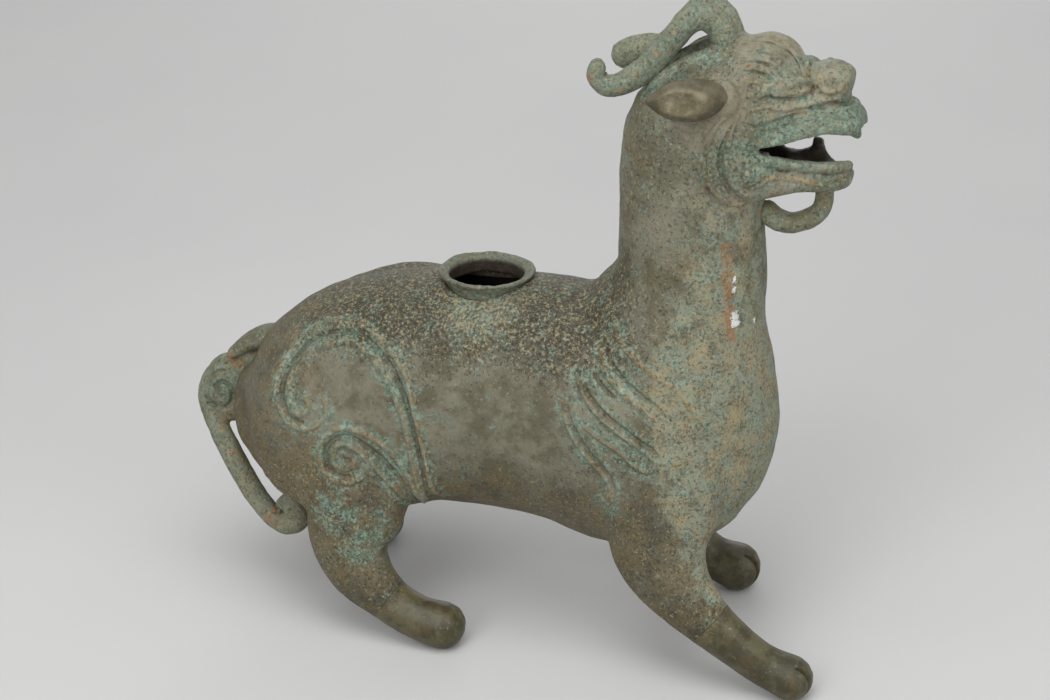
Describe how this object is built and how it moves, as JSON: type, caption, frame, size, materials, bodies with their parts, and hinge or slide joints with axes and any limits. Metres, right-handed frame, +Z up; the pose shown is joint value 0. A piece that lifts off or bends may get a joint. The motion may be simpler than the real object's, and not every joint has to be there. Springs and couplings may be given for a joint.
{
  "type": "animal-shaped wine vessel",
  "caption": "Hollow bronze wine vessel shaped as a striding horned beast, filled at a collar on its back and poured through its open mouth.",
  "frame": {"origin": "on the floor, under the middle of the vessel's bounding box", "axes": "+Z up, +X towards the nose, +Y towards the beast's left side"},
  "size_m": [0.3118, 0.115, 0.3086],
  "materials": {
    "patinated_bronze": "olive-brown patina with green and ochre crust",
    "verdigris_bronze": "matte blue-green corrosion",
    "restored_metal": "smooth dark olive, slightly glossy",
    "pin_metal": "plain turned metal",
    "casting_clay": "baked clay, rough"
  },
  "bodies": {
    "root": {"body_shell": "patinated_bronze", "head_shell": "patinated_bronze", "filler_collar": "verdigris_bronze", "beard_loop": "verdigris_bronze", "tail": "verdigris_bronze", "horn_right": "verdigris_bronze", "horn_left": "verdigris_bronze", "ear_right": "restored_metal", "ear_left": "restored_metal", "ear_pin_right": "pin_metal", "ear_pin_left": "pin_metal", "foreleg_lower_right": "restored_metal", "leg_dowel_foreleg_right": "pin_metal", "leg_core_foreleg_right": "casting_clay", "foreleg_lower_left": "restored_metal", "leg_dowel_foreleg_left": "pin_metal", "leg_core_foreleg_left": "casting_clay", "hindleg_lower_right": "restored_metal", "leg_dowel_hindleg_right": "pin_metal", "leg_core_hindleg_right": "casting_clay", "hindleg_lower_left": "restored_metal", "leg_dowel_hindleg_left": "pin_metal", "leg_core_hindleg_left": "casting_clay"}
  },
  "joints": []
}
